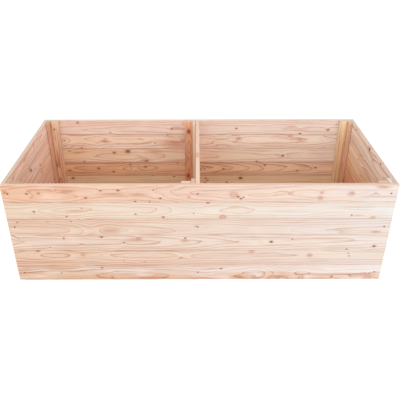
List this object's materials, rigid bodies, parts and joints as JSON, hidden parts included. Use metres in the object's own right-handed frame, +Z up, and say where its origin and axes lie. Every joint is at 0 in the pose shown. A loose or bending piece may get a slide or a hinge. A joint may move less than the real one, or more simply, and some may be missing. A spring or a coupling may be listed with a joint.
{
  "type": "raised garden bed",
  "caption": "Open-bottomed rectangular raised bed of tongue-and-groove softwood boards on upright battens, with a cross wall that divides it into compartments.",
  "frame": {"origin": "on the ground at the middle of the bed", "axes": "+X along the bed to the right, +Y from the front wall to the back wall, +Z up"},
  "size_m": [1.8, 0.8, 0.54],
  "materials": {
    "board": "planed, unfinished larch with tight brown knots",
    "batten": "planed, unfinished larch heartwood",
    "screw": "dull zinc plating"
  },
  "bodies": {
    "root": {"front_board_1": "board", "front_board_2": "board", "front_board_3": "board", "front_board_4": "board", "front_board_5": "board", "front_board_6": "board", "back_board_1": "board", "back_board_2": "board", "back_board_3": "board", "back_board_4": "board", "back_board_5": "board", "back_board_6": "board", "left_board_1": "board", "left_board_2": "board", "left_board_3": "board", "left_board_4": "board", "left_board_5": "board", "left_board_6": "board", "right_board_1": "board", "right_board_2": "board", "right_board_3": "board", "right_board_4": "board", "right_board_5": "board", "right_board_6": "board", "divider_board_1": "board", "divider_board_2": "board", "divider_board_3": "board", "divider_board_4": "board", "divider_board_5": "board", "divider_board_6": "board", "front_left_batten": "batten", "front_middle_batten": "batten", "front_right_batten": "batten", "back_left_batten": "batten", "back_middle_batten": "batten", "back_right_batten": "batten", "left_front_batten": "batten", "left_back_batten": "batten", "right_front_batten": "batten", "right_back_batten": "batten", "divider_front_batten": "batten", "divider_back_batten": "batten", "front_left_screw_1": "screw", "front_left_screw_2": "screw", "front_left_screw_3": "screw", "front_middle_screw_1": "screw", "front_middle_screw_2": "screw", "front_middle_screw_3": "screw", "front_right_screw_1": "screw", "front_right_screw_2": "screw", "front_right_screw_3": "screw", "back_left_screw_1": "screw", "back_left_screw_2": "screw", "back_left_screw_3": "screw", "back_middle_screw_1": "screw", "back_middle_screw_2": "screw", "back_middle_screw_3": "screw", "back_right_screw_1": "screw", "back_right_screw_2": "screw", "back_right_screw_3": "screw"}
  },
  "joints": []
}
